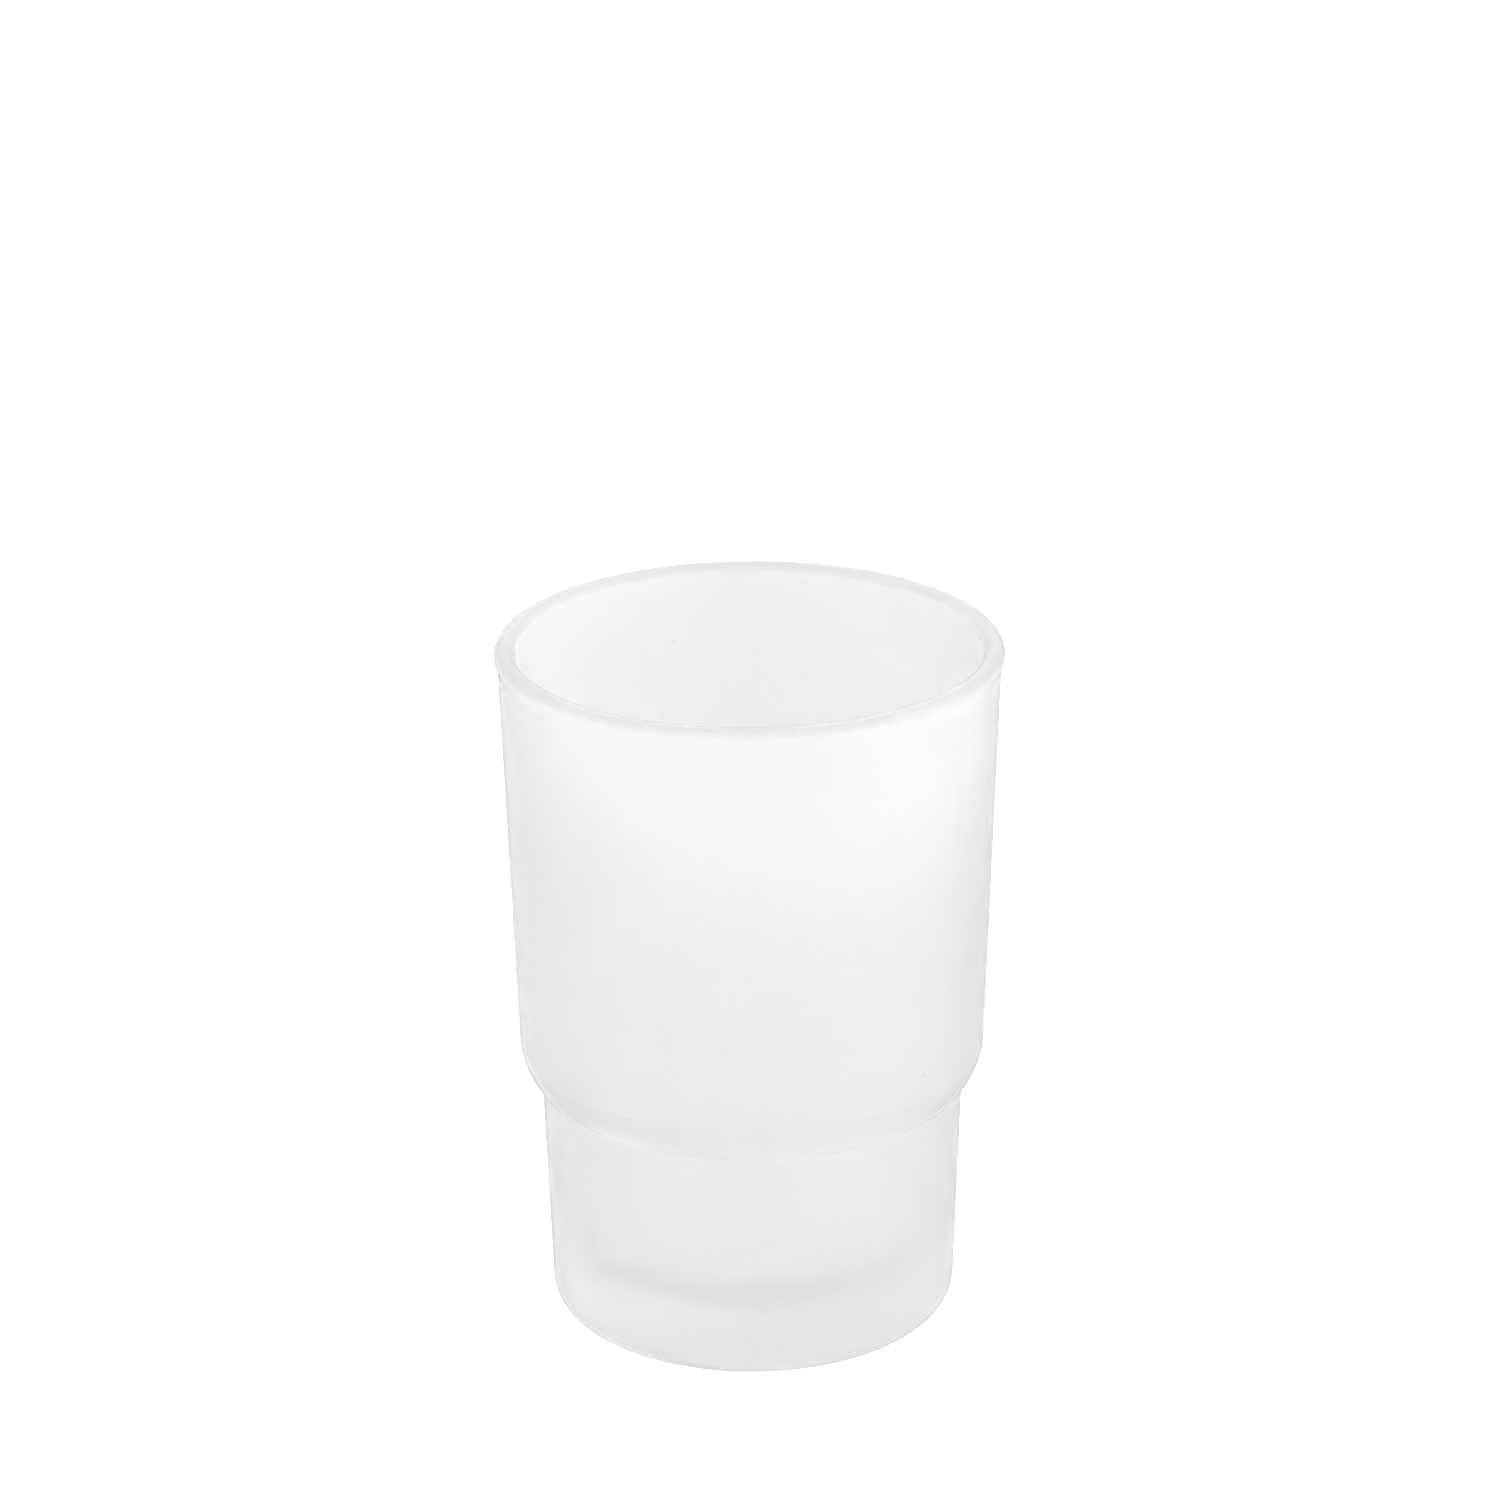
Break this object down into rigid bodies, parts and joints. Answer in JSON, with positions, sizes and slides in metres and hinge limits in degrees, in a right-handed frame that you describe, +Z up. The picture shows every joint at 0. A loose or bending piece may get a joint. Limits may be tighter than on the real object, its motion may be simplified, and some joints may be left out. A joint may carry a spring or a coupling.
{
  "type": "bathroom tumbler",
  "caption": "Satin-etched glass tumbler: tapered bowl with a round lip, a shoulder that seats in a holder ring, and a narrower thick-based foot to stand on.",
  "frame": {"origin": "middle of the base, on the plane of the ring that the tumbler stands on", "axes": "+Z up along the axis of revolution, from the base to the mouth; the tumbler is the same all round, and the picture looks along +Y"},
  "size_m": [0.0708, 0.0708, 0.1],
  "materials": {
    "etched_glass": "satin acid-etched inside and out, translucent, no clear window"
  },
  "bodies": {
    "root": {"glass_tumbler": "etched_glass"}
  },
  "joints": []
}
